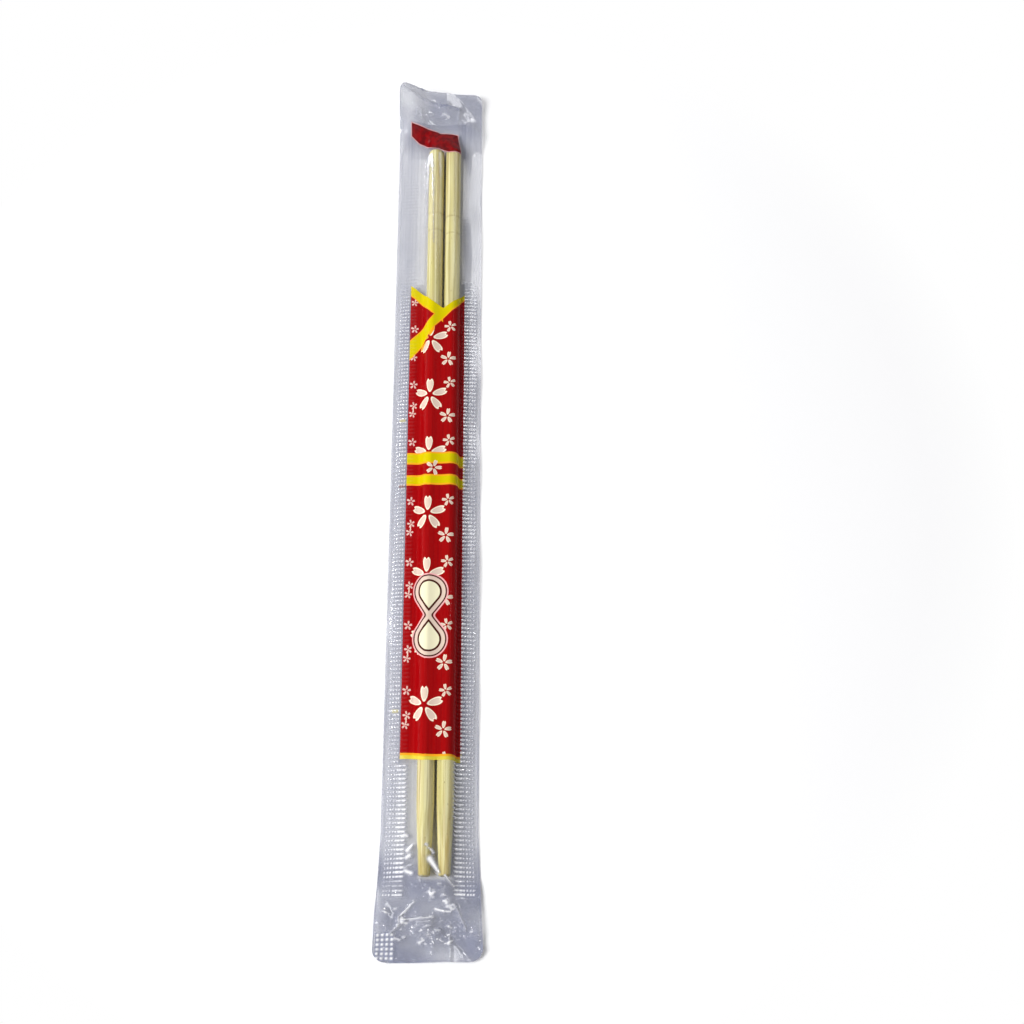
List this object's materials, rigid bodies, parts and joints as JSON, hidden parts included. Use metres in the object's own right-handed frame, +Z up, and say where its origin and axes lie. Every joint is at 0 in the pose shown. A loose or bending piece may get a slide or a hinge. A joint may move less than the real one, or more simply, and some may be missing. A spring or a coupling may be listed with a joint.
{
  "type": "pair of disposable chopsticks in a film sleeve",
  "caption": "Round cane chopsticks with short tapered tips, lying side by side in a sealed, printed clear film sleeve with knurled side seals.",
  "frame": {"origin": "middle of the sleeve's footprint, on the surface it lies on", "axes": "+Y along the sticks towards their thick ends, +X to the right with the printed front up, +Z up"},
  "size_m": [0.0264, 0.2746, 0.0074],
  "materials": {
    "cane": "bare, turned and tumbled smooth",
    "printed_film": "clear glossy film, printed in red, yellow and cream"
  },
  "bodies": {
    "root": {"chopstick_left": "cane", "chopstick_right": "cane", "film_sleeve": "printed_film"}
  },
  "joints": []
}
